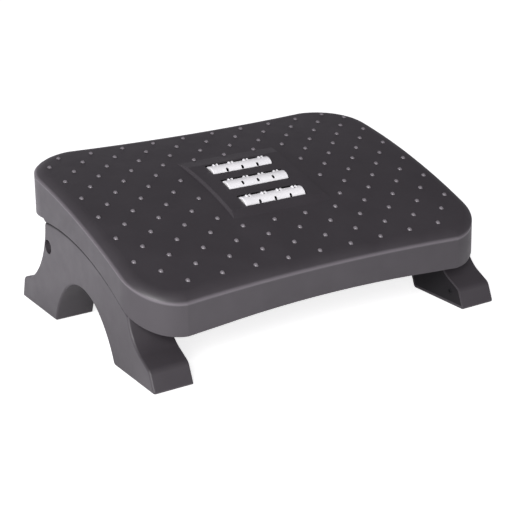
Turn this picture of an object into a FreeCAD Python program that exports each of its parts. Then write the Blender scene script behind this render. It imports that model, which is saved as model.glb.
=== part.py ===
import FreeCAD
import Part
import math
import os
from FreeCAD import Placement, Rotation, Vector

# Tilting footrest for use under a desk. A curved, studded deck with three
# massage rollers swings on a steel rod that joins two arched legs.
# Millimetres. X is the user's right, Y points away from the user, Z is up.
# The origin is on the floor, midway between the legs and between their toes.

# Legs
leg_outer_x = 225.0            # outer face of the right leg
leg_width = 45.5               # outer face to inner face
leg_half_length = 166.5        # from the origin to either toe
leg_wall = 3.0
leg_edge_radius = 2.5          # soft edge round the outer face
foot_lift = 0.8                # the moulding stands this far off the floor
toe_bottom_radius = 2.0
front_toe_lean = 67.0          # degrees from the floor to the toe's end face
front_toe_shoulder_radius = 10.0
front_foot_slope = 27.0        # slope of the foot's top, degrees
front_root_y = 137.0           # where the foot's top runs into the flank, ahead of the origin
front_root_z = 33.5
rear_toe_lean = 73.0
rear_toe_shoulder_radius = 8.0
rear_foot_slope = 18.0
rear_root_y = 134.5
rear_root_z = 35.4
root_radius = 25.0             # hollow between the foot's top and the flank
flank_slope = 33.0             # direction in which both flanks start, degrees
arch_height = 64.4             # the arch between the feet
arch_middle_y = -3.0
arch_half_width = 73.0
arch_foot_radius = 4.5         # where the arch comes down to the floor
arch_top_radius = 62.0
arch_top_sweep = 40.0          # degrees of the top arc either side of the middle
leg_shoulder_radius = 6.0      # rear end of the crown

# Crown of the leg, the long arc that the deck's skirt follows
crown_centre_y = 54.2
crown_centre_z = -193.5
crown_radius = 311.8
crown_front_y = 114.9          # front end of the crown, ahead of the origin
crown_rear_y = 84.0            # rear end of the crown, behind the origin
crown_gap = 1.1                # skirt edge to crown, deck at rest

# Deck
deck_reference_y = -16.5       # a point on the deck's centre line
deck_reference_z = 143.5
deck_slope = 16.2              # slope of the deck there, degrees, rear higher
deck_arc_radius = 891.0        # the deck is arched front to rear
deck_dish = 1.6                # the side edges stand this much above the middle
deck_half_width = 225.8
deck_front_reach = 143.2       # front edge ahead of the reference point
deck_rear_reach = 177.8        # rear edge behind it
deck_front_corner_radius = 53.2
deck_rear_corner_radius = 68.1
deck_front_bow = 4.7           # degrees by which the front edge bows in
deck_rear_bow = 4.2
deck_draft = 1.0               # degrees of outward lean of the skirt
deck_wall = 3.0
roll_radius = 19.6             # the deck's top rolls off towards its rim
roll_width = 14.5
skirt_front_y = -152.0         # the skirt's lower edge: front, then rear
skirt_front_z = 51.0
skirt_rear_y = 150.0
skirt_rear_z = 118.8
skirt_front_arch = 1.6         # its front lower edge arches up in the middle
skirt_front_arch_half_width = 140.0
skirt_step_y = 82.0            # top of the step behind the leg's crown
skirt_step_z = 121.2

# Studs moulded on the deck, in a staggered pattern
stud_pitch = 41.0              # along a row
stud_row_pitch = 20.8          # from row to row
stud_rows_front = 6            # rows in front of the reference point
stud_rows_rear = 7
stud_radius = 2.9              # at the foot of a stud
stud_height = 2.0
stud_foot = 0.15               # straight part of a stud above the deck

# Raised island round the rollers
island_arc = 12.6              # its middle, along the arched deck
island_height = 3.0
island_half_width = 60.5       # at its top
island_side_run = 2.5          # width of the slope at the sides
island_half_length = 50.5
island_front_run = 11.0        # width of the slope at the front
island_rear_run = 18.0

# Rollers
roller_radius = 11.3
roller_length = 80.0
roller_end_radius = 0.9
roller_wall = 2.2
roller_depth = 5.4             # axis below the deck's surface
roller_pitch = 36.0
roller_hole_pitch = 20.5
roller_hole_width = 3.2        # along the roller
roller_hole_length = 5.2       # round the roller
fin_height = 1.8               # the lips beside the holes of every second row
fin_radius = 2.6
fin_thickness = 0.9
fin_margin = 0.15              # from a hole to its lips
roller_rows = 6
roller_swing = 0.5             # from the lips to the slot's wall
roller_end_gap = 1.2           # from the roller to the cassette's cheek
roller_names = ("front", "middle", "rear")
roller_turns = (31.0, 50.0, 40.0)   # how far each roller happens to be turned

# Roller axles and hubs
axle_radius = 2.0
running_clearance = 0.05
hub_thickness = 5.0
hub_fit = 0.02
hub_nose_radius = 4.0
hub_nose_gap = 0.3

# Cassette that carries the rollers under the deck
cheek_thickness = 4.0
cheek_seat_depth = 3.0
cheek_drop = 1.0               # cheek top below the deck's inner face
cassette_end_margin = 16.0     # last roller axis to the cassette's end wall
cassette_wall = 2.5
cassette_floor_gap = 1.2       # from the lips to the floor
ear_length = 11.0
ear_half_width = 7.0
ear_level = 9.0                # upper face of the ears below the deck's surface
ear_thickness = 3.0
ear_screw_inset = 8.0          # screw to the cassette's end
screw_boss_radius = 4.5
screw_radius = 1.5
screw_pilot_clearance = 0.05
screw_length = 10.0
screw_head_radius = 3.0
screw_head_height = 2.0
screw_hole_clearance = 0.2
screw_cross_half_length = 1.8
screw_cross_width = 0.9
screw_cross_depth = 1.0

# Ribs under the deck
rib_thickness = 2.5
rib_height = 11.0
rib_lines_x = (70.0, 118.0, 160.0)
rib_rows = (-112.0, -72.0, 96.0, 146.0)
rib_room = 1.5                 # ribs stay this far from the brackets
web_lines_x = (196.0, 208.0)   # deep webs that come down on the stop pads
web_front_y = -104.0
web_rear_y = 52.0

# Pivot
pivot_y = 78.4
pivot_z = 88.0
rod_radius = 6.0
rod_recess = 12.0              # rod end inside the leg's outer face
pivot_hole_radius = 8.2        # the round hole seen in the leg's outer face
pivot_hole_depth = 15.0
pivot_boss_radius = 13.0
tilt_limit = 20.0              # degrees, front edge rising
tilt_stop_clearance = 0.3

# Pivot brackets under the deck
bracket_thickness = 6.0
bracket_flange_width = 30.0
bracket_flange_thickness = 4.0
bracket_half_length = 30.0
bracket_level = 11.0           # upper face of the flange below the deck's surface
bracket_arc = 100.0            # middle of the flange, along the arched deck
bracket_screw_inset = 8.0      # screw to the flange's end
bracket_arm_inset = 2.0        # arm's shoulder to the flange's end
bracket_weld_depth = 1.0       # arm and gusset run this far into the flange
gusset_thickness = 3.0
gusset_depth = 28.0
bracket_eye_radius = 14.0
bracket_tail_length = 34.0
bracket_tail_half_width = 6.5
bush_radius = 9.0
bush_fit = 0.02
bush_rim_radius = 11.0
bush_rim_thickness = 1.2
thrust_washer_radius = 11.0
thrust_washer_thickness = 1.5
stop_peg_radius = 5.0
stop_peg_reach = 26.0          # peg axis from the pivot

# Leg covers
cover_thickness = 3.0
cover_clearance = 0.25
cover_boss_radius = 4.5
cover_screw_sink = 1.5         # head's seat inside the cover's face
cover_screw_places = ((-141.0, 16.0), (-88.0, 48.0), (-30.0, 88.0),
                      (40.0, 84.0), (100.0, 40.0), (141.0, 16.0))

# Rod end screws
rod_screw_radius = 3.0
rod_screw_length = 16.0
rod_screw_head_radius = 5.2
rod_screw_head_height = 3.2
rod_screw_head_edge = 1.2
rod_screw_socket_radius = 2.0
rod_thread_runout = 4.0
rod_washer_radius = 7.9
rod_washer_thickness = 1.5

# Rubber pads
stop_pad_places_y = (-88.0, -40.0)
stop_pad_length = 26.0
stop_pad_width = 22.0
stop_pad_height = 1.5          # above the crown
stop_pad_depth = 1.5           # let into the crown
stop_pad_gap = 0.3             # to the webs, deck at rest
stop_pad_fit = 0.1             # round each pad in its seat
foot_pad_length = 56.0
foot_pad_width = 30.0
foot_pad_depth = 0.9           # let into the foot
foot_pad_corner_radius = 5.0
foot_pad_centre_y = 122.0

# Worked out from the sizes above
leg_inner_x = leg_outer_x - leg_width
leg_middle_x = leg_outer_x - leg_width / 2
web_clear_radius = crown_radius + stop_pad_height + stop_pad_gap
cheek_inner_x = roller_length / 2 + roller_end_gap
sweep_radius = roller_radius + fin_height
screw_pilot_radius = screw_radius + screw_pilot_clearance
screw_hole_radius = screw_radius + screw_hole_clearance
cassette_half_length = roller_pitch + cassette_end_margin
rod_bore_radius = rod_radius + running_clearance
roll_overhang = roll_radius - roll_width
roll_drop = roll_radius - math.sqrt(roll_radius ** 2 - roll_width ** 2)
bracket_outer_x = leg_inner_x - thrust_washer_thickness
bracket_inner_x = bracket_outer_x - bracket_thickness
rod_half_length = leg_outer_x - rod_recess
deck_frame = Placement(Vector(0, deck_reference_y, deck_reference_z),
                       Rotation(Vector(1, 0, 0), deck_slope))
x_axis = Vector(1, 0, 0)
z_axis = Vector(0, 0, 1)


def save(name, shape):
    shape.exportStep(os.path.join("parts", name + ".step"))
    print(name, "solids", len(shape.Solids), "valid", shape.isValid(), "volume", round(shape.Volume))


def block(x0, x1, y0, y1, z0, z1):
    return Part.makeBox(x1 - x0, y1 - y0, z1 - z0, Vector(x0, y0, z0))


def x_cylinder(radius, x0, x1, y, z):
    return Part.makeCylinder(radius, x1 - x0, Vector(x0, y, z), x_axis)


def mirrored(shape):
    return shape.mirror(Vector(0, 0, 0), x_axis)


def placed(shape, placement):
    moved = shape.copy()
    moved.Placement = placement.multiply(moved.Placement)
    return moved


def arc(p, q, r):
    return Part.Arc(p, q, r).toShape()


def line(p, q):
    return Part.LineSegment(p, q).toShape()


def at_deck(x, along, height):
    """Frame on the deck's surface: z along its normal, y up the slope."""
    angle = along / deck_arc_radius
    reach = deck_arc_radius + deck_dish * (x / deck_half_width) ** 2 + height
    place = Vector(x, reach * math.sin(angle), reach * math.cos(angle) - deck_arc_radius)
    return deck_frame.multiply(Placement(place, Rotation(x_axis, -math.degrees(angle))))


def outline(level, grow, front_y, rear_y):
    """Deck outline at a level of the deck's frame, grown outward by grow;
    the ungrown ends are at front_y and rear_y."""
    half_width = deck_half_width + grow

    def corner(side, end, end_y, radius, bow):
        """Both ends and the middle of a corner arc, from the side to the bowed end."""
        centre = Vector(side * (half_width - radius), end_y - end * (radius - grow), level)
        points = []
        for angle in (0.0, (math.pi / 2 - bow) / 2, math.pi / 2 - bow):
            points.append(centre + Vector(side * radius * math.cos(angle), end * radius * math.sin(angle), 0))
        return points

    def end_edges(end, end_y, radius, bow):
        """Right corner, bowed end and left corner."""
        right = corner(1, end, end_y, radius + grow, bow)
        left = corner(-1, end, end_y, radius + grow, bow)
        middle = Vector(0, right[2].y - end * right[2].x * math.tan(bow / 2), level)
        return right[0], left[0], [arc(*right), arc(right[2], middle, left[2]), arc(*left[::-1])]

    front_right, front_left, front = end_edges(-1, front_y, deck_front_corner_radius,
                                               math.radians(deck_front_bow))
    rear_right, rear_left, rear = end_edges(1, rear_y, deck_rear_corner_radius, math.radians(deck_rear_bow))
    sides = [line(front_right, rear_right), line(rear_left, front_left)]
    return Part.Wire(Part.__sortEdges__(sides[:1] + rear + sides[1:] + front))


def skirt_outline(level, inset):
    """Outline of the skirt; it shifts with the level so that the skirt stands upright in the room."""
    shift = level * math.tan(math.radians(deck_slope))
    grow = -level * math.tan(math.radians(deck_draft)) - inset
    return outline(level, grow, shift - deck_front_reach, shift + deck_rear_reach)


def roll_outline(level, inset):
    """Outline of a larger block with walls square to the arched deck, whose rounded rim is the roll-off."""
    ends = []
    for reach in (-deck_front_reach, deck_rear_reach):
        y = reach
        for step in range(4):
            rim_level = -y ** 2 / (2 * deck_arc_radius) - roll_drop
            y = reach + rim_level * math.tan(math.radians(deck_slope))
        ends.append(y + (level - rim_level) * math.tan(y / deck_arc_radius))
    return outline(level, roll_overhang - inset, *ends)


def under_arch(height):
    """Everything under the arched, dished deck surface moved by height."""
    reach = deck_half_width * 1.1
    rise = deck_dish * (reach / deck_half_width) ** 2
    depth = 150.0
    half_turn = 15.0
    left = Vector(-reach, 0, rise + height)
    right = Vector(reach, 0, rise + height)
    low_left = Vector(-reach, 0, -depth)
    low_right = Vector(reach, 0, -depth)
    edges = [arc(left, Vector(0, 0, height), right), line(right, low_right),
             line(low_right, low_left), line(low_left, left)]
    face = Part.Face(Part.Wire(edges))
    axis_point = Vector(0, 0, -deck_arc_radius)
    face.rotate(axis_point, x_axis, -half_turn)
    return face.revolve(axis_point, x_axis, 2 * half_turn)


def tray_body(inset):
    """The deck as a solid block with its top rolled off, in the deck's frame."""
    low, high = -95.0, 12.0
    prism = Part.makeLoft([skirt_outline(low, inset), skirt_outline(high, inset)], True, True)
    prism = prism.common(under_arch(-inset))
    roll = Part.makeLoft([roll_outline(low, inset), roll_outline(high, inset)], True, True)
    roll = roll.common(under_arch(-inset))
    top = max(roll.Faces, key=lambda face: face.CenterOfMass.z)
    roll = roll.makeFillet(roll_radius - inset, top.OuterWire.Edges)
    outside = prism.cut(roll).Solids
    rim_waste = max(outside, key=lambda solid: solid.BoundBox.ZMax)
    skirt_parts = [solid for solid in outside if solid is not rim_waste]
    return prism.common(roll).multiFuse(skirt_parts).removeSplitter()


def below_skirt():
    """The space under the skirt's lower edge, along the whole width."""
    reach = leg_outer_x + 10
    skirt_radius = crown_radius + crown_gap
    front_y = -crown_front_y
    rear_y = crown_rear_y - leg_shoulder_radius

    def on_arc(y):
        return Vector(-reach, y, crown_centre_z + math.sqrt(skirt_radius ** 2 - (y - crown_centre_y) ** 2))

    slope = (on_arc(front_y).z - skirt_front_z) / (front_y - skirt_front_y)
    rear_slope = (skirt_rear_z - skirt_step_z) / (skirt_rear_y - skirt_step_y)
    start = Vector(-reach, skirt_front_y - 40, skirt_front_z - 40 * slope)
    end = Vector(-reach, skirt_rear_y + 60, skirt_rear_z + 60 * rear_slope)
    turn = Vector(-reach, skirt_step_y, skirt_step_z)
    low_end = Vector(-reach, end.y, -60)
    low_start = Vector(-reach, start.y, -60)
    edges = [line(start, on_arc(front_y)),
             arc(on_arc(front_y), on_arc((front_y + rear_y) / 2), on_arc(rear_y)),
             line(on_arc(rear_y), turn), line(turn, end), line(end, low_end),
             line(low_end, low_start), line(low_start, start)]
    room = Part.Face(Part.Wire(edges)).extrude(Vector(2 * reach, 0, 0))
    left = Vector(-skirt_front_arch_half_width, start.y, start.z)
    right = Vector(skirt_front_arch_half_width, start.y, start.z)
    top = Vector(0, start.y, start.z + skirt_front_arch)
    lens = Part.Face(Part.Wire([arc(left, top, right), line(right, left)]))
    depth = skirt_front_y + deck_front_corner_radius - start.y
    return room.fuse(lens.extrude(Vector(0, depth, depth * slope)))


def island(height, inset):
    """Raised island with sloping sides, in its own frame on the deck."""
    fall_top = island_half_length ** 2 / (2 * deck_arc_radius)
    side_gain = island_side_run / island_height

    def reach(run, level):
        """Distance from the island's middle to its end slope at a level."""
        fall_foot = (island_half_length + run) ** 2 / (2 * deck_arc_radius)
        gain = run / (island_height - fall_top + fall_foot)
        return island_half_length + (island_height - fall_top - level) * gain - inset

    def rectangle(level):
        x = island_half_width + (island_height - level) * side_gain - inset
        front = -reach(island_front_run, level)
        rear = reach(island_rear_run, level)
        points = [Vector(-x, front, level), Vector(x, front, level),
                  Vector(x, rear, level), Vector(-x, rear, level)]
        return Part.makePolygon(points + points[:1])

    hill = Part.makeLoft([rectangle(-5.5), rectangle(5.0)], True, True)
    hill = placed(hill, at_deck(0, island_arc, 0))
    return hill.common(placed(under_arch(height), deck_frame))


def roller_arcs():
    return [island_arc + (index - 1) * roller_pitch for index in range(3)]


def roller_slots():
    half = roller_length / 2 + roller_end_gap
    slots = []
    for along in roller_arcs():
        slot = Part.makeCylinder(sweep_radius + roller_swing, 2 * half, Vector(-half, 0, 0), x_axis)
        slots.append(placed(slot, at_deck(0, along, -roller_depth)))
    return slots


def stud_places():
    """Staggered rows, with the island's rows left open in the middle."""
    places = []
    for row in range(-stud_rows_front, stud_rows_rear + 1):
        odd = row % 2
        columns = 4 if row == -stud_rows_front else 5
        offsets = range(-columns, columns) if odd else range(-columns, columns + 1)
        for column in offsets:
            x = (column + odd / 2) * stud_pitch
            along = row * stud_row_pitch
            beside = abs(x) > island_half_width + island_side_run + stud_radius
            before = along < island_arc - island_half_length - island_front_run
            behind = along > island_arc + island_half_length + island_rear_run
            if beside or before or behind:
                places.append((x, along))
    return places


def stud():
    """A low dome on a short straight foot, turned about its own axis."""
    rise = stud_height - stud_foot
    radius = (stud_radius ** 2 + rise ** 2) / (2 * rise)
    middle = stud_height - radius
    half_angle = (math.atan2(stud_foot - middle, stud_radius) + math.pi / 2) / 2
    foot = Vector(stud_radius, 0, -deck_wall / 2)
    edge = Vector(stud_radius, 0, stud_foot)
    on_dome = Vector(radius * math.cos(half_angle), 0, middle + radius * math.sin(half_angle))
    tip = Vector(0, 0, stud_height)
    base = Vector(0, 0, -deck_wall / 2)
    face = Part.Face(Part.Wire([line(base, foot), line(foot, edge), arc(edge, on_dome, tip), line(tip, base)]))
    return face.revolve(Vector(0, 0, 0), z_axis, 360)


def studs():
    return [placed(stud(), at_deck(x, along, 0)) for x, along in stud_places()]


def cassette_levels():
    """Top, floor top and floor bottom of the cassette, in the island's frame."""
    fall = cassette_half_length ** 2 / (2 * deck_arc_radius)
    top = island_height - deck_wall - cheek_drop - fall
    floor_top = -roller_depth - fall - sweep_radius - cassette_floor_gap
    return top, floor_top, floor_top - cassette_wall


def cassette_screw_places():
    x = cheek_inner_x + cheek_thickness + ear_length / 2
    y = cassette_half_length - ear_screw_inset
    return [(side * x, end * y) for side in (-1, 1) for end in (-1, 1)]


def bracket_screw_places():
    x = bracket_outer_x - bracket_thickness - (bracket_flange_width - bracket_thickness) / 2
    y = bracket_half_length - bracket_screw_inset
    return [(x, -y), (x, y)]


def boss(frame, x, y, level, root):
    """Screw boss that hangs from the deck down to a level, with its pilot hole."""
    column = Part.makeCylinder(screw_boss_radius, root - level, Vector(x, y, level), z_axis)
    pilot = Part.makeCylinder(screw_pilot_radius, screw_length, Vector(x, y, level), z_axis)
    return placed(column, frame), placed(pilot, frame)


def deck_shell():
    outer = placed(tray_body(0), deck_frame).multiFuse(studs())
    hollow = placed(tray_body(deck_wall), deck_frame)
    hollow = hollow.fuse(island(island_height - deck_wall, deck_wall))
    island_frame = at_deck(0, island_arc, 0)
    bracket_frame = at_deck(0, bracket_arc, 0)

    layer = hollow.cut(placed(under_arch(-deck_wall - rib_height), deck_frame))
    bars = []
    for x in rib_lines_x:
        for side in (-1, 1):
            bars.append(block(side * x - rib_thickness / 2, side * x + rib_thickness / 2, -250, 250, 0, 250))
    for along in rib_rows:
        bar = block(-250, 250, -rib_thickness / 2, rib_thickness / 2, -60, 20)
        bars.append(placed(bar, at_deck(0, along, 0)))
    ribs = layer.common(bars[0].multiFuse(bars[1:]))
    room_x = cheek_inner_x + cheek_thickness + ear_length + 1
    room_y = cassette_half_length + cassette_wall + 0.5
    room = placed(block(-room_x, room_x, -room_y, room_y, -40, 20), island_frame)
    ribs = ribs.cut(room)
    for side in (-1, 1):
        bracket_x = side * (bracket_outer_x - bracket_flange_width / 2)
        half = bracket_flange_width / 2 + rib_room
        low = bracket_half_length + rib_room
        bracket_room = block(bracket_x - half, bracket_x + half, -low, low, -60, -bracket_level + 0.01)
        ribs = ribs.cut(placed(bracket_room, bracket_frame))

    webs = []
    for x in web_lines_x:
        for side in (-1, 1):
            webs.append(block(side * x - rib_thickness / 2, side * x + rib_thickness / 2,
                              web_front_y, web_rear_y, 40, 250))
    crown_room = x_cylinder(web_clear_radius, -250, 250, crown_centre_y, crown_centre_z)
    webs = hollow.common(webs[0].multiFuse(webs[1:])).cut(crown_room)

    columns, pilots = [], []
    for x, y in cassette_screw_places():
        column, pilot = boss(island_frame, x, y, -ear_level, 1.5)
        columns.append(column)
        pilots.append(pilot)
    for side in (-1, 1):
        for x, y in bracket_screw_places():
            column, pilot = boss(bracket_frame, side * x, y, -bracket_level, -1.5)
            columns.append(column)
            pilots.append(pilot)

    shell = outer.cut(hollow).cut(below_skirt())
    shell = shell.multiFuse([island(island_height, 0).cut(hollow), ribs, webs] + columns)
    return shell.cut(Part.makeCompound(roller_slots() + pilots))


def roller_cassette():
    top, floor_top, floor_low = cassette_levels()
    outer_x = cheek_inner_x + cheek_thickness
    outer_y = cassette_half_length + cassette_wall
    body = block(-outer_x, outer_x, -outer_y, outer_y, floor_low, top)
    body = body.cut(block(-cheek_inner_x, cheek_inner_x, -cassette_half_length, cassette_half_length,
                          floor_top, top + 1))
    for x, y in cassette_screw_places():
        side = math.copysign(1, x)
        x0, x1 = sorted((side * outer_x, side * (outer_x + ear_length)))
        ear = block(x0, x1, y - ear_half_width, y + ear_half_width, -ear_level - ear_thickness, -ear_level)
        body = body.fuse(ear)
        body = body.cut(Part.makeCylinder(screw_hole_radius, 40, Vector(x, y, -ear_level - 20), z_axis))
    body = placed(body, at_deck(0, island_arc, 0))
    seat_x = cheek_inner_x + cheek_seat_depth
    radius = axle_radius + running_clearance
    for along in roller_arcs():
        bore = Part.makeCylinder(radius, 2 * seat_x, Vector(-seat_x, 0, 0), x_axis)
        way = block(-seat_x, seat_x, -radius, radius, 0, 30)
        body = body.cut(placed(bore.fuse(way), at_deck(0, along, -roller_depth)))
    return body


def screw_from_below(frame, x, y, level):
    """Screw whose head bears on a face at this level and points up."""
    shank = Part.makeCylinder(screw_radius, screw_length, Vector(x, y, level), z_axis)
    low = level - screw_head_height
    head = Part.makeCylinder(screw_head_radius, screw_head_height, Vector(x, y, low), z_axis)
    arm = screw_cross_half_length
    half = screw_cross_width / 2
    high = low + screw_cross_depth
    cross = block(x - arm, x + arm, y - half, y + half, low, high)
    cross = cross.fuse(block(x - half, x + half, y - arm, y + arm, low, high))
    return placed(shank.fuse(head).cut(cross), frame)


def cassette_screws():
    level = -ear_level - ear_thickness
    frame = at_deck(0, island_arc, 0)
    return Part.makeCompound([screw_from_below(frame, x, y, level) for x, y in cassette_screw_places()])


def roller_axle(along):
    half = cheek_inner_x + cheek_seat_depth - 0.15
    rod = Part.makeCylinder(axle_radius, 2 * half, Vector(-half, 0, 0), x_axis)
    return placed(rod, at_deck(0, along, -roller_depth))


def roller_frame(along, turn):
    """Roller's own frame; its z axis points through the middle of a row of holes."""
    frame = at_deck(0, along, -roller_depth)
    return Placement(frame.Base, Rotation(x_axis, 90 - turn))


def roller_sleeve(along, turn):
    half = roller_length / 2
    inner = roller_radius - roller_wall
    tube = Part.makeCylinder(roller_radius, roller_length, Vector(-half, 0, 0), x_axis)
    ends = [edge for edge in tube.Edges if abs(abs(edge.CenterOfMass.x) - half) < 0.01]
    tube = tube.makeFillet(roller_end_radius, ends)
    fins, holes = [], []
    straight = roller_hole_length - roller_hole_width
    for row in range(roller_rows):
        count = 4 if row % 2 else 3
        for place in range(count):
            x = (place - (count - 1) / 2) * roller_hole_pitch
            fin_x = (roller_hole_width + fin_thickness) / 2 + fin_margin
            sink = fin_radius - fin_height
            for side in (-1, 1) if row % 2 else ():
                foot = Vector(x + side * fin_x - fin_thickness / 2, 0, roller_radius - sink)
                fin = Part.makeCylinder(fin_radius, fin_thickness, foot, x_axis)
                fin.rotate(Vector(0, 0, 0), x_axis, 360 / roller_rows * row)
                fins.append(fin)
            hole = block(x - roller_hole_width / 2, x + roller_hole_width / 2, -straight / 2, straight / 2,
                         inner - 2, roller_radius + 3)
            for end in (-1, 1):
                foot = Vector(x, end * straight / 2, inner - 2)
                hole = hole.fuse(Part.makeCylinder(roller_hole_width / 2, roller_wall + 5, foot, z_axis))
            hole.rotate(Vector(0, 0, 0), x_axis, 360 / roller_rows * row)
            holes.append(hole)
    core = Part.makeCylinder(inner, roller_length, Vector(-half, 0, 0), x_axis)
    sleeve = tube.multiFuse(fins).cut(Part.makeCompound([core] + holes))
    return placed(sleeve, roller_frame(along, turn))


def roller_hub(along, side):
    half = roller_length / 2
    radius = roller_radius - roller_wall - hub_fit
    nose = roller_end_gap - hub_nose_gap
    disc = Part.makeCylinder(radius, hub_thickness, Vector(half - hub_thickness, 0, 0), x_axis)
    tip = Part.makeCylinder(hub_nose_radius, nose + 1, Vector(half - 1, 0, 0), x_axis)
    bore = Part.makeCylinder(axle_radius + running_clearance, 3 * hub_thickness,
                             Vector(half - 2 * hub_thickness, 0, 0), x_axis)
    hub = disc.fuse(tip).cut(bore)
    if side < 0:
        hub = mirrored(hub)
    return placed(hub, at_deck(0, along, -roller_depth))


def tangent_arc(start, heading, end):
    """Arc from start to end that leaves start along the unit vector heading."""
    chord = end - start
    bend = heading.getAngle(chord)
    across = heading.cross(chord).cross(heading)
    across.normalize()
    radius = chord.Length / (2 * math.sin(bend))
    middle = start + across * radius - across * radius * math.cos(bend) + heading * radius * math.sin(bend)
    return arc(start, middle, end)


def leg_outline(x):
    """Side view of a leg as one closed wire in the plane at x."""
    def point(y, z):
        return Vector(x, y, z)

    def crown(y):
        return point(y, crown_centre_z + math.sqrt(crown_radius ** 2 - (y - crown_centre_y) ** 2))

    def heading(end, degrees):
        """Direction that climbs towards the middle at this slope."""
        angle = math.radians(degrees)
        return Vector(0, -end * math.cos(angle), math.sin(angle))

    def foot(end, toe_lean, shoulder_radius, foot_slope, root_y, root_z):
        """Edges from the toe's bottom, over the shoulder and the foot's top, to the crown's end."""
        toe = point(end * leg_half_length, foot_lift)
        root = point(end * root_y, root_z)
        run = leg_half_length - root_y
        rise = root_z - foot_lift
        lean, slope = math.radians(toe_lean), math.radians(foot_slope)
        toe_up = (rise - run * math.tan(slope)) / (math.sin(lean) - math.cos(lean) * math.tan(slope))
        up_toe, up_top, up_flank = heading(end, toe_lean), heading(end, foot_slope), heading(end, flank_slope)
        corner = toe + up_toe * toe_up
        shoulder_trim = shoulder_radius * math.tan((lean - slope) / 2)
        root_trim = root_radius * math.tan((math.radians(flank_slope) - slope) / 2)
        low, high = corner - up_toe * shoulder_trim, corner + up_top * shoulder_trim
        before, after = root - up_top * root_trim, root + up_flank * root_trim
        crown_end = crown(crown_rear_y if end > 0 else -crown_front_y)
        return toe, [line(toe, low), tangent_arc(low, up_toe, high), line(high, before),
                     tangent_arc(before, up_top, after), tangent_arc(after, up_flank, crown_end)]

    sweep = math.radians(arch_top_sweep)
    haunch_y = arch_top_radius * math.sin(sweep)
    haunch_z = arch_height - arch_top_radius + arch_top_radius * math.cos(sweep)
    front_toe, front_edges = foot(-1, front_toe_lean, front_toe_shoulder_radius, front_foot_slope,
                                  front_root_y, front_root_z)
    rear_toe, rear_edges = foot(1, rear_toe_lean, rear_toe_shoulder_radius, rear_foot_slope,
                                rear_root_y, rear_root_z)
    edges = front_edges + rear_edges
    for end, toe in ((-1, front_toe), (1, rear_toe)):
        haunch = point(arch_middle_y + end * haunch_y, haunch_z)
        arch_end = point(arch_middle_y + end * arch_half_width, foot_lift)
        edges.append(tangent_arc(haunch, heading(-end, -arch_top_sweep), arch_end))
        edges.append(line(arch_end, toe))
    edges.append(arc(point(arch_middle_y - haunch_y, haunch_z), point(arch_middle_y, arch_height),
                     point(arch_middle_y + haunch_y, haunch_z)))
    edges.append(arc(crown(-crown_front_y), crown((crown_rear_y - crown_front_y) / 2), crown(crown_rear_y)))
    return Part.Wire(Part.__sortEdges__(edges))


def leg_prism(x0, x1, inset):
    wire = leg_outline(x0)
    if inset:
        wire = wire.makeOffset2D(-inset)
    return Part.Face(wire).extrude(Vector(x1 - x0, 0, 0))


def stop_pad_blocks(inner_radius, outer_radius, clearance):
    ring = x_cylinder(outer_radius, 0, 250, crown_centre_y, crown_centre_z)
    ring = ring.cut(x_cylinder(inner_radius, 0, 250, crown_centre_y, crown_centre_z))
    half_width = stop_pad_width / 2 + clearance
    half_length = stop_pad_length / 2 + clearance
    web_middle = sum(web_lines_x) / len(web_lines_x)
    pads = []
    for y in stop_pad_places_y:
        zone = block(web_middle - half_width, web_middle + half_width,
                     y - half_length, y + half_length, 40, 200)
        pads.append(ring.common(zone))
    return pads


def foot_pad_block(end):
    half = foot_pad_length / 2
    y = end * foot_pad_centre_y
    pad = block(leg_middle_x - foot_pad_width / 2, leg_middle_x + foot_pad_width / 2,
                y - half, y + half, 0, foot_lift + foot_pad_depth)
    corners = [edge for edge in pad.Edges if abs(edge.tangentAt(edge.FirstParameter).z) > 0.9]
    return pad.makeFillet(foot_pad_corner_radius, corners)


def edge_across(body, y, z):
    """The edge across the leg that is nearest to a place in its side view."""
    across = [edge for edge in body.Edges if abs(edge.tangentAt(edge.FirstParameter).x) > 0.9]
    return min(across, key=lambda edge: math.hypot(edge.CenterOfMass.y - y, edge.CenterOfMass.z - z))


def leg_shell():
    body = leg_prism(leg_inner_x, leg_outer_x, 0)
    shoulder = edge_across(body, crown_rear_y, crown_centre_z + crown_radius)
    body = body.makeFillet(leg_shoulder_radius, [shoulder])
    for end in (-1, 1):
        body = body.makeFillet(toe_bottom_radius, [edge_across(body, end * leg_half_length, foot_lift)])
        arch_foot = edge_across(body, arch_middle_y + end * arch_half_width, foot_lift)
        body = body.makeFillet(arch_foot_radius, [arch_foot])
    face = max(body.Faces, key=lambda item: item.CenterOfMass.x)
    body = body.makeFillet(leg_edge_radius, face.OuterWire.Edges)
    body = body.cut(leg_prism(leg_inner_x - 1, leg_outer_x - leg_wall, leg_wall))
    cover_x = leg_inner_x + cover_thickness
    room = leg_prism(leg_inner_x - 1, leg_outer_x - leg_wall + 0.5, leg_wall / 2)
    bosses, holes = [], []
    for y, z in cover_screw_places:
        bosses.append(x_cylinder(cover_boss_radius, cover_x, leg_outer_x - leg_wall + 0.5, y, z))
        holes.append(x_cylinder(screw_pilot_radius, cover_x, cover_x + screw_length, y, z))
    bosses.append(x_cylinder(pivot_boss_radius, cover_x, leg_outer_x - leg_wall + 0.5, pivot_y, pivot_z))
    bosses = [column.common(room) for column in bosses]
    holes.append(x_cylinder(pivot_hole_radius, leg_outer_x - pivot_hole_depth, leg_outer_x + 1,
                            pivot_y, pivot_z))
    holes.append(x_cylinder(rod_bore_radius, leg_inner_x - 1, leg_outer_x, pivot_y, pivot_z))
    seats = stop_pad_blocks(crown_radius - stop_pad_depth, crown_radius + 5, stop_pad_fit)
    feet = [foot_pad_block(end) for end in (-1, 1)]
    return body.multiFuse(bosses).cut(Part.makeCompound(holes + seats + feet))


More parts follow.
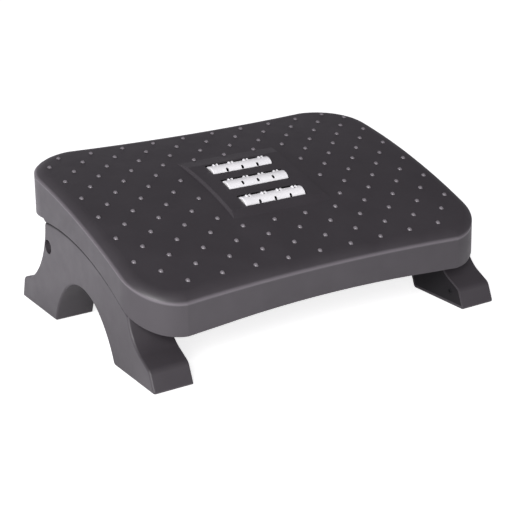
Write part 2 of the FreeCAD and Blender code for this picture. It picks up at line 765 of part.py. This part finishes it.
def leg_cover():
    cover = leg_prism(leg_inner_x, leg_inner_x + cover_thickness, leg_wall + cover_clearance)
    angle = math.radians(tilt_limit) + math.asin(
        (bracket_tail_half_width + stop_peg_radius + tilt_stop_clearance) / stop_peg_reach)
    peg_y = pivot_y - stop_peg_reach * math.sin(angle)
    peg_z = pivot_z - stop_peg_reach * math.cos(angle)
    cover = cover.fuse(x_cylinder(stop_peg_radius, bracket_inner_x, leg_inner_x + 1, peg_y, peg_z))
    holes = [x_cylinder(rod_bore_radius, leg_inner_x - 1, leg_inner_x + 10, pivot_y, pivot_z)]
    for y, z in cover_screw_places:
        holes.append(x_cylinder(screw_hole_radius, leg_inner_x - 1, leg_inner_x + 10, y, z))
        holes.append(x_cylinder(screw_head_radius + screw_hole_clearance, leg_inner_x - 1,
                                leg_inner_x + cover_screw_sink, y, z))
    return cover.cut(Part.makeCompound(holes))


def leg_cover_screws():
    seat_x = leg_inner_x + cover_screw_sink
    slot_x = leg_inner_x + cover_screw_sink / 2
    arm = screw_cross_half_length
    half = screw_cross_width / 2
    screws = []
    for y, z in cover_screw_places:
        shank = x_cylinder(screw_radius, seat_x, seat_x + screw_length, y, z)
        head = x_cylinder(screw_head_radius, leg_inner_x, seat_x, y, z)
        cross = block(leg_inner_x - 1, slot_x, y - arm, y + arm, z - half, z + half)
        cross = cross.fuse(block(leg_inner_x - 1, slot_x, y - half, y + half, z - arm, z + arm))
        screws.append(shank.fuse(head).cut(cross))
    return Part.makeCompound(screws)


def pivot_rod():
    rod = x_cylinder(rod_radius, -rod_half_length, rod_half_length, pivot_y, pivot_z)
    threads = []
    depth = rod_screw_length + rod_thread_runout
    for x in (-rod_half_length, rod_half_length - depth):
        threads.append(x_cylinder(rod_screw_radius + running_clearance, x, x + depth, pivot_y, pivot_z))
    return rod.cut(Part.makeCompound(threads))


def rod_washer():
    x = rod_half_length
    washer = x_cylinder(rod_washer_radius, x, x + rod_washer_thickness, pivot_y, pivot_z)
    hole = x_cylinder(rod_screw_radius + screw_hole_clearance, x - 1, x + rod_washer_thickness + 1,
                      pivot_y, pivot_z)
    return washer.cut(hole)


def rod_screw():
    x = rod_half_length + rod_washer_thickness
    shank = x_cylinder(rod_screw_radius, x - rod_screw_length, x, pivot_y, pivot_z)
    head = x_cylinder(rod_screw_head_radius, x, x + rod_screw_head_height, pivot_y, pivot_z)
    rim = [edge for edge in head.Edges if abs(edge.CenterOfMass.x - x - rod_screw_head_height) < 0.01]
    head = head.makeFillet(rod_screw_head_edge, rim)
    socket_sides = 6
    corners = []
    for index in range(socket_sides + 1):
        angle = 2 * math.pi * index / socket_sides
        corners.append(Vector(x + rod_screw_head_height / 2,
                              pivot_y + rod_screw_socket_radius * math.cos(angle),
                              pivot_z + rod_screw_socket_radius * math.sin(angle)))
    socket = Part.Face(Part.makePolygon(corners)).extrude(Vector(rod_screw_head_height, 0, 0))
    return shank.fuse(head).cut(socket)


def pivot_bracket():
    frame = at_deck(0, bracket_arc, 0)
    low = -bracket_level - bracket_flange_thickness
    flange = block(bracket_outer_x - bracket_flange_width, bracket_outer_x,
                   -bracket_half_length, bracket_half_length, low, -bracket_level)
    for x, y in bracket_screw_places():
        flange = flange.cut(Part.makeCylinder(screw_hole_radius, 30, Vector(x, y, low - 10), z_axis))
    flange = placed(flange, frame)
    shoulder = bracket_half_length - bracket_arm_inset
    weld = low + bracket_weld_depth
    shoulders = [frame.multVec(Vector(0, y, weld)) for y in (-shoulder, shoulder)]
    x = bracket_inner_x
    corners = [Vector(x, shoulders[0].y, shoulders[0].z), Vector(x, shoulders[1].y, shoulders[1].z),
               Vector(x, pivot_y + bracket_eye_radius, pivot_z),
               Vector(x, pivot_y - bracket_eye_radius, pivot_z)]
    arm = Part.Face(Part.makePolygon(corners + corners[:1])).extrude(Vector(bracket_thickness, 0, 0))
    eye = x_cylinder(bracket_eye_radius, bracket_inner_x, bracket_outer_x, pivot_y, pivot_z)
    tail_end = pivot_z - bracket_tail_length + bracket_tail_half_width
    tail = block(bracket_inner_x, bracket_outer_x, pivot_y - bracket_tail_half_width,
                 pivot_y + bracket_tail_half_width, tail_end, pivot_z)
    tip = x_cylinder(bracket_tail_half_width, bracket_inner_x, bracket_outer_x, pivot_y, tail_end)
    web_x = bracket_inner_x + bracket_weld_depth
    toe_x = bracket_outer_x - bracket_flange_width + bracket_arm_inset
    places = ((web_x, weld), (toe_x, weld), (web_x, low - gusset_depth))
    gusset_corners = [frame.multVec(Vector(along, gusset_thickness / 2, level)) for along, level in places]
    gusset = Part.Face(Part.makePolygon(gusset_corners + gusset_corners[:1]))
    gusset = gusset.extrude(frame.Rotation.multVec(Vector(0, -gusset_thickness, 0)))
    bracket = flange.multiFuse([arm, eye, tail, tip, gusset])
    return bracket.cut(x_cylinder(bush_radius + bush_fit, bracket_inner_x - 1, bracket_outer_x + 1,
                                  pivot_y, pivot_z))


def bracket_screws():
    frame = at_deck(0, bracket_arc, 0)
    level = -bracket_level - bracket_flange_thickness
    return Part.makeCompound([screw_from_below(frame, x, y, level) for x, y in bracket_screw_places()])


def pivot_bush():
    sleeve = x_cylinder(bush_radius, bracket_inner_x, bracket_outer_x, pivot_y, pivot_z)
    rim = x_cylinder(bush_rim_radius, bracket_inner_x - bush_rim_thickness, bracket_inner_x, pivot_y, pivot_z)
    bore = x_cylinder(rod_bore_radius, bracket_inner_x - 10, bracket_outer_x + 10, pivot_y, pivot_z)
    return sleeve.fuse(rim).cut(bore)


def thrust_washer():
    washer = x_cylinder(thrust_washer_radius, bracket_outer_x, leg_inner_x, pivot_y, pivot_z)
    return washer.cut(x_cylinder(rod_bore_radius, bracket_outer_x - 1, leg_inner_x + 1, pivot_y, pivot_z))


def save_pair(name, shape):
    save(name + "_right", shape)
    save(name + "_left", mirrored(shape))


os.makedirs("parts", exist_ok=True)
save("deck_shell", deck_shell())
save("roller_cassette", roller_cassette())
save("cassette_screws", cassette_screws())
for name, along, turn in zip(roller_names, roller_arcs(), roller_turns):
    save("roller_axle_" + name, roller_axle(along))
    save("roller_sleeve_" + name, roller_sleeve(along, turn))
    save("roller_hub_" + name + "_right", roller_hub(along, 1))
    save("roller_hub_" + name + "_left", roller_hub(along, -1))
save_pair("pivot_bracket", pivot_bracket())
save_pair("bracket_screws", bracket_screws())
save_pair("pivot_bush", pivot_bush())
save_pair("thrust_washer", thrust_washer())
save("pivot_rod", pivot_rod())
save_pair("rod_washer", rod_washer())
save_pair("rod_screw", rod_screw())
save_pair("leg_shell", leg_shell())
save_pair("leg_cover", leg_cover())
save_pair("leg_cover_screws", leg_cover_screws())
save_pair("stop_pads", Part.makeCompound(stop_pad_blocks(crown_radius - stop_pad_depth,
                                                          crown_radius + stop_pad_height, 0)))
for end, place in ((-1, "front"), (1, "rear")):
    save_pair("foot_pad_" + place, foot_pad_block(end))
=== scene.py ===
"""Looks of the tilting under-desk footrest, in metres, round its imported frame.

X is the user's right, Y points away from the user and Z is up. The floor is Z = 0.
"""
import math

import bpy
import numpy as np
from mathutils import Matrix, Vector

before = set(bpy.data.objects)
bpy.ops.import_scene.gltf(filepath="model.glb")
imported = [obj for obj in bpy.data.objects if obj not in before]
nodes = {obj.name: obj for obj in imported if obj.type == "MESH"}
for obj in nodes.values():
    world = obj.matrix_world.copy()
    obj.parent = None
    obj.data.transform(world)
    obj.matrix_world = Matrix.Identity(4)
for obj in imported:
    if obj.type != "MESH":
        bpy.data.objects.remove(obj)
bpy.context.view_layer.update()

# Camera, found by fitting the studs, the legs and the floor line of the photograph
camera_place = Vector((-0.7638, -1.2182, 0.5697))
camera_aim = Vector((0.0027, 0.0012, 0.0535))
camera_roll = math.radians(-0.83)
camera_lens = 91.55            # mm on a 36 mm sensor
camera_sensor = 36.0

# Floor, with light of its own that only the camera and reflections see
floor_half_size = 8.0
floor_white = 0.86
floor_roughness = 0.9
floor_specular = 0.1
floor_lift = 0.75              # for the camera
floor_gleam = 1.30             # for reflections, outside the shade under the footrest
gleam_right = 0.15             # share of the gleam left on the right, this far out
gleam_right_reach = 0.50
gleam_rear = 0.68              # share of the gleam left at the rear, this far out
gleam_rear_reach = 0.25
shade_reach_x = 0.32
shade_reach_y = 0.23
shade_blur = 0.40              # share of the reach over which the shade fades

# Sky and lamp
sky_low = 1.0                  # the studio's walls near the floor
sky_low_height = 0.05
sky_high = 0.24                # its dark ceiling
sky_high_height = 0.6
sky_left = 1.45                # the walls are brighter on the left and darker on the right
sky_right = 0.30
studio_tint = (1.0, 0.965, 1.035, 1.0)
plain_white = (1.0, 1.0, 1.0, 1.0)
key_place = Vector((-1.55, -1.70, 1.25))
key_aim = Vector((0, 0, 0.1))
key_size = 1.2
key_power = 54.0

# Noise: most of its values lie between these two
noise_low = 0.3
noise_high = 0.7

# Moulded plastic: the scales are per metre
cloud_scale = 22.0             # slow clouds of tone
cloud_detail = 3.0
gloss_scale = 60.0             # patches of uneven gloss
gloss_detail = 4.0
gloss_below = 0.03             # roughness runs from this much under its value
gloss_above = 0.04             # to this much over it
grain_strength = 0.35
plain_specular = 0.5
satin_specular = 0.6           # the black mouldings that show
satin_roughness = 0.46
satin_grain_scale = 1500.0
satin_grain_depth = 0.00006
dull_roughness = 1.0           # for painted shade: the seam, the studs' shaded sides and the rollers' bores

# Steel, streaked along X
streak_scale = 900.0           # across the streaks, per metre
streak_gloss_below = 0.06
streak_gloss_above = 0.08
rod_streak_scale = 12.0        # along the streaks, per metre
screw_streak_scale = 300.0

# The leg's crown, a long arc, and the painted shade along the seam between it and the skirt
crown_centre_y = 0.0542
crown_centre_z = -0.1935
crown_radius = 0.3118
seam_reach = 0.0040
seam_front_y = -0.11           # the seam is faint here and full at seam_rear_y
seam_rear_y = 0.0

# The rollers' axes, each as Y and Z
roller_axes = {"front": (-0.03724, 0.131533), "middle": (-0.002943, 0.141723), "rear": (0.031738, 0.15052)}
roller_skin_radius = 0.0108    # inside it lie the bore and the holes' walls
roller_shade_reach = 0.0385

# The deck's arched top, as the part's source has it
deck_point = Vector((0, -0.0165, 0.1435))
deck_slope = math.radians(16.2)
deck_arc_radius = 0.891
deck_dish = 0.0016
deck_half_width = 0.2258
island_middle_y = -0.0045
island_reach_x = 0.0655
island_reach_y = 0.0660
rim_drop = 0.0064              # crisp rim of the roll-off, below the arched surface
# half width of the painted highlight along the rim
rim_highlight_half_width = 0.0024
stud_foot_height = 0.00012     # above the arched surface, a stud begins at this height
stud_body_height = 0.0004      # and all of it is stud from this one
stud_shade_start = 0.15        # the side of a stud that is turned to the right lies in shade
stud_shade_end = 0.60


def linear(level):
    """A grey or colour written as 8-bit screen values, as the shader takes it, by the sRGB curve."""
    values = np.asarray(level, float) / 255
    bright = ((values + 0.055) / 1.055) ** 2.4
    return tuple(np.where(values <= 0.04045, values / 12.92, bright)) + (1.0,)


def new_material(name):
    """An empty node material with its Principled shader."""
    material = bpy.data.materials.new(name)
    material.use_nodes = True
    shader = material.node_tree.nodes["Principled BSDF"]
    return material, material.node_tree, shader


def feed(tree, value, socket):
    """Links a node's output to the socket, or gives the socket a number or a colour."""
    if isinstance(value, bpy.types.NodeSocket):
        tree.links.new(value, socket)
    else:
        socket.default_value = value


def maths(tree, operation, first, second=None):
    """One maths node; its inputs are sockets or numbers."""
    node = tree.nodes.new("ShaderNodeMath")
    node.operation = operation
    feed(tree, first, node.inputs[0])
    if second is not None:
        feed(tree, second, node.inputs[1])
    return node.outputs[0]


def mixed(tree, share, first, second):
    """First turned to second by the share; second is a colour or a number, and first is the same kind."""
    node = tree.nodes.new("ShaderNodeMix")
    if isinstance(second, tuple):
        node.data_type = "RGBA"
        first_place, second_place, result_place = 6, 7, 2
    else:
        node.data_type = "FLOAT"
        first_place, second_place, result_place = 2, 3, 0
    feed(tree, first, node.inputs[first_place])
    feed(tree, second, node.inputs[second_place])
    tree.links.new(share, node.inputs["Factor"])
    return node.outputs[result_place]


def stretched(tree, value, start, end, low, high, interpolation="LINEAR"):
    """A value that ran from start to end, now from low to high and held there beyond."""
    node = tree.nodes.new("ShaderNodeMapRange")
    node.interpolation_type = interpolation
    limits = {"From Min": start, "From Max": end, "To Min": low, "To Max": high}
    for name, limit in limits.items():
        node.inputs[name].default_value = limit
    tree.links.new(value, node.inputs["Value"])
    return node.outputs["Result"]


def coordinates(tree, kind):
    """X, Y and Z of the shaded point (Object), of its normal (Normal) or of a direction in the
    sky (Generated)."""
    source = tree.nodes.new("ShaderNodeTexCoord")
    split = tree.nodes.new("ShaderNodeSeparateXYZ")
    tree.links.new(source.outputs[kind], split.inputs["Vector"])
    return split.outputs


def hypotenuse(tree, first, second):
    """The square root of the sum of two squares."""
    first_square = maths(tree, "MULTIPLY", first, first)
    second_square = maths(tree, "MULTIPLY", second, second)
    return maths(tree, "SQRT", maths(tree, "ADD", first_square, second_square))


def distance_from_axis(tree, place, axis_y, axis_z):
    """Metres from the shaded point to a line along X."""
    across = maths(tree, "SUBTRACT", place["Y"], axis_y)
    upward = maths(tree, "SUBTRACT", place["Z"], axis_z)
    return hypotenuse(tree, across, upward)


def fade_from(tree, distance, reach):
    """Falls softly from one at no distance to nought at the reach."""
    return stretched(tree, distance, 0.0, reach, 1.0, 0.0, "SMOOTHSTEP")


def noise(tree, scale, detail=2.0):
    """Noise over the piece's own metres: its size is about one over the scale."""
    place = tree.nodes.new("ShaderNodeTexCoord")
    texture = tree.nodes.new("ShaderNodeTexNoise")
    texture.inputs["Scale"].default_value = scale
    texture.inputs["Detail"].default_value = detail
    tree.links.new(place.outputs["Object"], texture.inputs["Vector"])
    return texture.outputs["Fac"]


def spread(tree, value, low, high):
    """A noise value stretched to run from low to high."""
    return stretched(tree, value, noise_low, noise_high, low, high)


def moulded(name, dark, light, roughness, grain_scale, grain_depth, specular=plain_specular):
    """Moulded plastic: two close tones in slow clouds, a fine spark-eroded grain and uneven gloss."""
    material, tree, shader = new_material(name)
    clouds = spread(tree, noise(tree, cloud_scale, cloud_detail), 0.0, 1.0)
    tree.links.new(mixed(tree, clouds, linear(dark), linear(light)), shader.inputs["Base Color"])
    gloss = noise(tree, gloss_scale, gloss_detail)
    tree.links.new(spread(tree, gloss, roughness - gloss_below, roughness + gloss_above),
                   shader.inputs["Roughness"])
    shader.inputs["Specular IOR Level"].default_value = specular
    bump = tree.nodes.new("ShaderNodeBump")
    bump.inputs["Strength"].default_value = grain_strength
    bump.inputs["Distance"].default_value = grain_depth
    tree.links.new(noise(tree, grain_scale), bump.inputs["Height"])
    tree.links.new(bump.outputs["Normal"], shader.inputs["Normal"])
    return material


def metal(name, dark, light, roughness, streak):
    """Drawn or plated steel: streaks along X that are stretched noise in colour and gloss."""
    material, tree, shader = new_material(name)
    place = tree.nodes.new("ShaderNodeTexCoord")
    mapping = tree.nodes.new("ShaderNodeMapping")
    mapping.inputs["Scale"].default_value = (streak, streak_scale, streak_scale)
    texture = tree.nodes.new("ShaderNodeTexNoise")
    texture.inputs["Scale"].default_value = 1.0
    tree.links.new(place.outputs["Object"], mapping.inputs["Vector"])
    tree.links.new(mapping.outputs["Vector"], texture.inputs["Vector"])
    streaks = texture.outputs["Fac"]
    tree.links.new(mixed(tree, spread(tree, streaks, 0.0, 1.0), linear(dark), linear(light)),
                   shader.inputs["Base Color"])
    tree.links.new(spread(tree, streaks, roughness - streak_gloss_below, roughness + streak_gloss_above),
                   shader.inputs["Roughness"])
    shader.inputs["Metallic"].default_value = 1.0
    return material


def height_over_deck(tree, place):
    """Metres from the arched, dished deck surface to the shaded point: the distance to the
    arch's axis, less its radius and less the dish at this distance from the middle."""
    axis_y = deck_point.y + deck_arc_radius * math.sin(deck_slope)
    axis_z = deck_point.z - deck_arc_radius * math.cos(deck_slope)
    sideways = maths(tree, "DIVIDE", place["X"], deck_half_width)
    dish = maths(tree, "MULTIPLY", maths(tree, "MULTIPLY", sideways, sideways), deck_dish)
    surface = maths(tree, "ADD", dish, deck_arc_radius)
    return maths(tree, "SUBTRACT", distance_from_axis(tree, place, axis_y, axis_z), surface)


def rim_highlight_share(tree):
    """Where the painted highlight lies: one on the crisp rim between the roll-off and the skirt, nought the
    highlight's half width from it.
    """
    drop = maths(tree, "ADD", height_over_deck(tree, coordinates(tree, "Object")), rim_drop)
    return fade_from(tree, maths(tree, "ABSOLUTE", drop), rim_highlight_half_width)


def stud_share(tree):
    """One on the studs and nought on the plain deck and on the island round the rollers."""
    place = coordinates(tree, "Object")
    raised = stretched(tree, height_over_deck(tree, place), stud_foot_height, stud_body_height, 0.0, 1.0)
    beside = maths(tree, "DIVIDE", maths(tree, "ABSOLUTE", place["X"]), island_reach_x)
    along = maths(tree, "ABSOLUTE", maths(tree, "SUBTRACT", place["Y"], island_middle_y))
    outside = maths(tree, "MAXIMUM", beside, maths(tree, "DIVIDE", along, island_reach_y))
    return maths(tree, "MULTIPLY", raised, maths(tree, "GREATER_THAN", outside, 1.0))


def shaded_stud_share(tree):
    """Where the painted shade lies: one on the right-hand sides of the studs."""
    turned = stretched(tree, coordinates(tree, "Normal")["X"], stud_shade_start, stud_shade_end, 0.0, 1.0)
    return maths(tree, "MULTIPLY", stud_share(tree), turned)


def seam_shade_share(tree):
    """Where the painted shade of the seam lies: one along the leg's crown, nought seam_reach below it, and
    weaker towards the front.
    """
    place = coordinates(tree, "Object")
    from_axis = distance_from_axis(tree, place, crown_centre_y, crown_centre_z)
    depth = maths(tree, "ABSOLUTE", maths(tree, "SUBTRACT", from_axis, crown_radius))
    rearward = stretched(tree, place["Y"], seam_front_y, seam_rear_y, 0.0, 1.0)
    return maths(tree, "MULTIPLY", fade_from(tree, depth, seam_reach), rearward)


def bore_shade_share(tree, axis_y, axis_z):
    """Where the painted shade lies: one on a roller's inner wall and in its holes, nought on its outside and
    its end faces.
    """
    place = coordinates(tree, "Object")
    within = maths(tree, "LESS_THAN", distance_from_axis(tree, place, axis_y, axis_z), roller_skin_radius)
    clear_of_end = maths(tree, "LESS_THAN", maths(tree, "ABSOLUTE", place["X"]), roller_shade_reach)
    return maths(tree, "MULTIPLY", within, clear_of_end)


def change(material, share, colour, roughness):
    """Turns the material to this tone and roughness by a share worked out per point: lighter
    and smoother for a painted highlight, darker and dull for painted shade."""
    tree = material.node_tree
    inputs = tree.nodes["Principled BSDF"].inputs
    for name, value in (("Base Color", linear(colour)), ("Roughness", roughness)):
        before = inputs[name].links[0].from_socket
        tree.links.new(mixed(tree, share, before, value), inputs[name])


def dress(material, *prefixes):
    """Gives the material to every CAD node whose name starts with a prefix."""
    for node_name, piece in nodes.items():
        if node_name.startswith(prefixes):
            for place in range(len(piece.data.materials)):
                piece.data.materials[place] = material


deck_plastic = moulded("deck plastic", dark=(54, 50, 54), light=(59, 55, 59), roughness=satin_roughness,
                       grain_scale=satin_grain_scale, grain_depth=satin_grain_depth, specular=satin_specular)
deck_nodes = deck_plastic.node_tree
# painted highlight: the crisp rim is lighter and smoother, standing in for the sheen the light lays along it
change(deck_plastic, rim_highlight_share(deck_nodes), colour=(104, 99, 104), roughness=0.36)
# painted highlight: the studs are lighter and smoother all over, standing in for the light they catch
change(deck_plastic, stud_share(deck_nodes), colour=(118, 113, 118), roughness=0.30)
# painted shade on the studs' right-hand sides
change(deck_plastic, shaded_stud_share(deck_nodes), colour=(30, 28, 30), roughness=dull_roughness)
leg_plastic = moulded("leg plastic", dark=(56, 52, 56), light=(61, 57, 61), roughness=satin_roughness,
                      grain_scale=satin_grain_scale, grain_depth=satin_grain_depth, specular=satin_specular)
# painted shade: the leg is darkened along its crown, in the gap under the skirt
change(leg_plastic, seam_shade_share(leg_plastic.node_tree), colour=(10, 9, 10), roughness=dull_roughness)
# painted shade: the leg covers and the roller cassette, under the deck, get a darker and duller black than
# the leg shells
shaded_inner_plastic = moulded("inner plastic darkened for shade", dark=(26, 24, 27), light=(31, 29, 32), roughness=0.58,
                        grain_scale=1200.0, grain_depth=0.00004, specular=0.25)
hub_plastic = moulded("hub plastic", dark=(214, 213, 210), light=(224, 223, 220), roughness=0.40,
                      grain_scale=900.0, grain_depth=0.00003)
bush_plastic = moulded("bush plastic", dark=(202, 197, 180), light=(214, 209, 192), roughness=0.36,
                       grain_scale=900.0, grain_depth=0.00003)
pad_rubber = moulded("pad rubber", dark=(34, 34, 34), light=(42, 42, 42), roughness=0.82,
                     grain_scale=700.0, grain_depth=0.0002)
bracket_paint = moulded("bracket powder coat", dark=(44, 44, 45), light=(52, 52, 53), roughness=0.52,
                        grain_scale=1100.0, grain_depth=0.00012)
rod_steel = metal("rod steel", dark=(176, 178, 182), light=(206, 208, 211), roughness=0.26,
                  streak=rod_streak_scale)
black_screw = metal("blackened screw", dark=(44, 44, 46), light=(60, 60, 62), roughness=0.40,
                    streak=screw_streak_scale)
screw_steel = metal("screw steel", dark=(150, 151, 153), light=(188, 189, 190), roughness=0.34,
                    streak=screw_streak_scale)

dress(deck_plastic, "deck_shell")
dress(leg_plastic, "leg_shell")
dress(shaded_inner_plastic, "leg_cover_r", "leg_cover_l", "roller_cassette")
for roller, (axis_y, axis_z) in roller_axes.items():
    roller_plastic = moulded("roller plastic " + roller, dark=(236, 235, 237), light=(250, 249, 251),
                             roughness=0.38, grain_scale=1100.0, grain_depth=0.0004)
    # painted shade: the bores and holes of the white rollers are darkened, where little light reaches
    change(roller_plastic, bore_shade_share(roller_plastic.node_tree, axis_y, axis_z), colour=(20, 20, 21),
           roughness=dull_roughness)
    dress(roller_plastic, "roller_sleeve_" + roller)
dress(hub_plastic, "roller_hub")
dress(bush_plastic, "pivot_bush", "thrust_washer")
dress(pad_rubber, "stop_pads", "foot_pad")
dress(bracket_paint, "pivot_bracket")
dress(rod_steel, "pivot_rod", "roller_axle", "rod_washer")
dress(screw_steel, "rod_screw", "cassette_screws", "bracket_screws")
dress(black_screw, "leg_cover_screws")


def studio_floor():
    """A flat white square. Its own light grows from nought in the shade under the footrest, an
    ellipse, and dims to the right and to the rear."""
    reach = floor_half_size
    mesh = bpy.data.meshes.new("studio floor")
    mesh.from_pydata([(-reach, -reach, 0), (reach, -reach, 0), (reach, reach, 0), (-reach, reach, 0)],
                     [], [(0, 1, 2, 3)])
    floor = bpy.data.objects.new("studio_floor", mesh)
    bpy.context.collection.objects.link(floor)
    material, tree, shader = new_material("studio floor")
    shader.inputs["Base Color"].default_value = (floor_white, floor_white, floor_white, 1)
    shader.inputs["Roughness"].default_value = floor_roughness
    shader.inputs["Specular IOR Level"].default_value = floor_specular
    ray = tree.nodes.new("ShaderNodeLightPath").outputs
    tree.links.new(mixed(tree, ray["Is Camera Ray"], studio_tint, plain_white),
                   shader.inputs["Emission Color"])
    place = coordinates(tree, "Object")
    from_middle = hypotenuse(tree, maths(tree, "DIVIDE", place["X"], shade_reach_x),
                             maths(tree, "DIVIDE", place["Y"], shade_reach_y))
    open_floor = stretched(tree, from_middle, 1.0 - shade_blur, 1.0 + shade_blur, 0.0, 1.0)
    reflected = maths(tree, "MAXIMUM", ray["Is Glossy Ray"], ray["Is Transmission Ray"])
    gleam = maths(tree, "MULTIPLY", maths(tree, "MULTIPLY", reflected, floor_gleam), open_floor)
    dimming = {"X": (gleam_right_reach, gleam_right), "Y": (gleam_rear_reach, gleam_rear)}
    for axis, (far_out, left_there) in dimming.items():
        gleam = maths(tree, "MULTIPLY", gleam, stretched(tree, place[axis], 0.0, far_out, 1.0, left_there))
    seen = maths(tree, "MULTIPLY", ray["Is Camera Ray"], floor_lift)
    tree.links.new(maths(tree, "ADD", gleam, seen), shader.inputs["Emission Strength"])
    mesh.materials.append(material)


def studio_sky():
    """World light that fades from the bright walls at the horizon to the dark ceiling; the camera
    itself sees plain white."""
    world = bpy.data.worlds.new("studio")
    bpy.context.scene.world = world
    world.use_nodes = True
    tree = world.node_tree
    background = tree.nodes["Background"].inputs
    direction = coordinates(tree, "Generated")
    upward = stretched(tree, direction["Z"], sky_low_height, sky_high_height, sky_low, sky_high)
    sideways = stretched(tree, direction["X"], -1.0, 1.0, sky_left, sky_right)
    strength = maths(tree, "MULTIPLY", upward, sideways)
    seen = tree.nodes.new("ShaderNodeLightPath").outputs["Is Camera Ray"]
    lighting = maths(tree, "MULTIPLY", strength, maths(tree, "SUBTRACT", 1.0, seen))
    tree.links.new(maths(tree, "ADD", lighting, seen), background["Strength"])
    tree.links.new(mixed(tree, seen, studio_tint, plain_white), background["Color"])


def soft_lamp(name, place, aim, size, power):
    """A square softbox that faces a point."""
    data = bpy.data.lights.new(name, "AREA")
    data.size = size
    data.energy = power
    lamp = bpy.data.objects.new(name, data)
    lamp.location = place
    lamp.rotation_euler = (aim - place).to_track_quat("-Z", "Y").to_euler()
    bpy.context.collection.objects.link(lamp)


def photo_camera():
    """The photograph's own view: a long lens a little above the footrest."""
    data = bpy.data.cameras.new("camera")
    data.lens = camera_lens
    data.sensor_width = camera_sensor
    camera = bpy.data.objects.new("camera", data)
    turn = (camera_aim - camera_place).to_track_quat("-Z", "Y").to_matrix().to_4x4()
    camera.matrix_world = Matrix.Translation(camera_place) @ turn @ Matrix.Rotation(camera_roll, 4, "Z")
    bpy.context.collection.objects.link(camera)
    bpy.context.scene.camera = camera


studio_floor()
studio_sky()
soft_lamp("key", key_place, key_aim, key_size, key_power)
photo_camera()
bpy.context.scene.view_settings.view_transform = "Standard"

bpy.context.view_layer.update()
